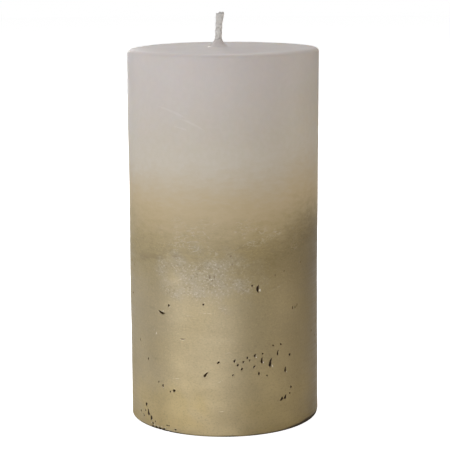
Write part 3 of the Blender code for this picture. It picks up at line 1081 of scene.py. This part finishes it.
def make_strand(index, material):
    """A strand of waxed cotton: a filled middle, a ring of yarns, and a few loose fibres."""
    rng = np.random.default_rng(70 + index)
    tip = plait_centre(index, np.array([WICK_TOP - 0.5]))[0]
    z = wick_rows(cut_height(tip[0], index))
    tubes = [tube(plait_centre(index, z), np.full(len(z), STRAND_HALF_DEPTH + 0.05), 12)]
    if index == 1:
        tubes.append(wax_fill(z))
    for yarn in range(OUTER_YARNS):
        tip = yarn_path(plait_centre(index, z[-1:]), z[-1:], yarn, 0.2)[0]
        z = wick_rows(cut_height(tip[0], index) + rng.uniform(-0.10, 0.10))
        path = yarn_path(plait_centre(index, z), z, yarn, rng.uniform(0.05, 0.25))
        swell = 1.0 + 0.06 * np.sin(z * 5.1 + yarn)
        tubes.append(tube(path, YARN_RADIUS * swell, 6))
    for _ in range(LOOSE_FIBRES):
        tubes.append(loose_fibre(index, rng))
    number = index + 1
    mesh = joined_tubes(f"yarns_{number}", tubes)
    new_piece(f"cotton_strand_{number}", mesh, material, f"wick_strand_{number}")


def make_wick_seal(material):
    """The wax that climbs the wick in a hollow cone and runs out into the top face."""
    outline = Outline()
    for step in range(SEAL_STEPS + 1):
        t = step / SEAL_STEPS
        flank = (1.0 - t) ** 1.3 * (1.0 - 0.7 * t)
        outline.add(SEAL_LIP + (SEAL_FOOT - SEAL_LIP) * t, HEIGHT + SEAL_TIP * flank - 0.05, top=1.0)
    outline.add(SEAL_FOOT - 0.6, HEIGHT - 0.7)
    outline.add(SEAL_PLUG, HEIGHT - 1.2)
    outline.add(SEAL_PLUG, HEIGHT - SKIN)
    outline.add(SEAL_LIP - SEAL_WALL, HEIGHT - SKIN)
    outline.add(SEAL_LIP - SEAL_WALL, HEIGHT + SEAL_TIP - 0.35)
    outline.add(SEAL_LIP, HEIGHT + SEAL_TIP - 0.05, top=1.0)
    mesh = wrapped_grid("wick_seal", outline, SEAL_COLUMNS)
    degrees, _, r, z, _, top = unrolled(mesh, outline)
    turn = np.radians(degrees)
    climb = 1.0 + 0.08 * np.sin(2 * turn + 0.6) + 0.05 * np.sin(3 * turn) + 0.03 * np.sin(7 * turn)
    rise = (z - HEIGHT) * np.where(z > HEIGHT, climb, 1.0)
    face = top * top_shape(degrees, r) * smooth(1.0, 3.5, r)
    spread = 1.0 + 0.07 * np.sin(2 * turn + 1.9) * smooth(2.0, 4.0, r)
    points = wrapped(degrees, r * spread, HEIGHT + rise + face, WICK_X)
    points[:, 1] *= SEAL_DEPTH
    close_up(mesh, points)
    new_piece("wick_seal", mesh, material, "wick_top_seal")


# ---- carried-over nodes

def dress_node(node, material):
    """Give a CAD node that stays a finished material."""
    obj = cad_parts[node]
    obj.data.materials.clear()
    obj.data.materials.append(material)


# ---- stage, light and camera

WHITE = (1.0, 1.0, 1.0)
WARM_LIGHT = (1.0, 0.91, 0.77)
FLOOR_SIZE = 6.0
FLOOR_GREY = (0.80, 0.80, 0.80)
FLOOR_GLOW = 0.97  # seen by the camera only
WORLD_LIGHT = 0.02

# Lights: name, bearing, elevation, then distance, width and height in metres, watts, colour
LIGHTS = [
    ("front", -12, 3, 1.6, 1.6, 0.3, 7.9, WHITE),
    ("key", -56, 8, 1.2, 0.3, 0.7, 5.2, WHITE),
    ("left_side", -120, 8, 1.2, 0.4, 0.7, 1.5, WHITE),
    ("right", 80, 8, 1.2, 0.8, 0.7, 4.3, WARM_LIGHT),
    ("back", -165, 8, 1.2, 0.3, 0.7, 5.0, WHITE),
    ("top", 180, 71, 1.2, 0.9, 0.9, 9.8, WHITE),
]

# Camera: place in millimetres and angles in degrees, for a lens and sensor in millimetres
CAMERA_PLACE = (0.0, -585.1, 176.8)
CAMERA_PITCH = 10.25
CAMERA_ROLL = -0.35
CAMERA_YAW = 0.036
LENS = 128.0
SENSOR = 36.0


def for_camera(tree, socket, other, seen):
    """Give the socket one value for what the camera sees and another for all other light."""
    path = tree.nodes.new("ShaderNodeLightPath")
    strength = tree.nodes.new("ShaderNodeMapRange")
    strength.inputs["To Min"].default_value = other
    strength.inputs["To Max"].default_value = seen
    tree.links.new(path.outputs["Is Camera Ray"], strength.inputs["Value"])
    tree.links.new(strength.outputs["Result"], socket)


def make_stage():
    """A plain pale floor. For the camera alone it also glows, which makes it white."""
    bpy.ops.mesh.primitive_plane_add(size=FLOOR_SIZE)
    floor = bpy.context.object
    floor.name = "floor"
    material = bpy.data.materials.new("pale floor")
    material.use_nodes = True
    shader = material.node_tree.nodes["Principled BSDF"]
    shader.inputs["Base Color"].default_value = (*FLOOR_GREY, 1.0)
    shader.inputs["Roughness"].default_value = 0.9
    shader.inputs["Specular IOR Level"].default_value = 0.0
    shader.inputs["Emission Color"].default_value = (*WHITE, 1.0)
    for_camera(material.node_tree, shader.inputs["Emission Strength"], 0.0, FLOOR_GLOW)
    floor.data.materials.append(material)


def make_world():
    """An even white background. The light it gives is much weaker than what the camera sees."""
    world = bpy.data.worlds.new("studio")
    world.use_nodes = True
    background = world.node_tree.nodes["Background"]
    background.inputs["Color"].default_value = (*WHITE, 1.0)
    for_camera(world.node_tree, background.inputs["Strength"], WORLD_LIGHT, 1.0)
    bpy.context.scene.world = world


def softbox(name, degrees, elevation, distance, wide, tall, watts, colour):
    """A rectangular light that faces the candle's middle from a bearing round it."""
    target = Vector((0.0, 0.0, HEIGHT * MM * 0.5))
    turn, rise = math.radians(degrees), math.radians(elevation)
    way = Vector((math.sin(turn) * math.cos(rise), -math.cos(turn) * math.cos(rise), math.sin(rise)))
    light = bpy.data.lights.new(name, "AREA")
    light.shape = "RECTANGLE"
    light.size, light.size_y = wide, tall
    light.energy = watts
    light.color = colour
    lamp = bpy.data.objects.new(name, light)
    lamp.location = target + way * distance
    lamp.rotation_euler = (-way).to_track_quat("-Z", "Y").to_euler()
    bpy.context.scene.collection.objects.link(lamp)


def make_camera():
    """The reference view: a long lens, a little above the candle and tipped down to it."""
    pitch, roll, yaw = (math.radians(angle) for angle in (CAMERA_PITCH, CAMERA_ROLL, CAMERA_YAW))
    data = bpy.data.cameras.new("camera")
    data.lens = LENS
    data.sensor_width = SENSOR
    data.clip_start = 0.01
    camera = bpy.data.objects.new("camera", data)
    camera.location = Vector(CAMERA_PLACE) * MM
    turn = Matrix.Rotation(-yaw, 3, "Z") @ Matrix.Rotation(math.pi / 2 - pitch, 3, "X")
    camera.rotation_euler = (turn @ Matrix.Rotation(roll, 3, "Z")).to_euler()
    bpy.context.scene.collection.objects.link(camera)
    bpy.context.scene.camera = camera


def main():
    make_camera()
    make_stage()
    make_world()
    for row in LIGHTS:
        softbox(*row)
    make_wax_skin()
    make_gold_coat()
    cotton = make_cotton_material()
    for index in range(3):
        make_strand(index, cotton)
    seal_wax = make_plain_wax("seal wax", SEAL_WAX_PAINTED_LIGHTER, 0.48)
    make_wick_seal(seal_wax)
    dress_node("wax_core", make_plain_wax("core wax", CORE_WAX, 0.55))
    dress_node("base_seal", seal_wax)
    dress_node("wick_sustainer", make_steel_material())
    scene = bpy.context.scene
    scene.view_settings.view_transform = "Standard"
    scene.view_settings.look = "None"


main()
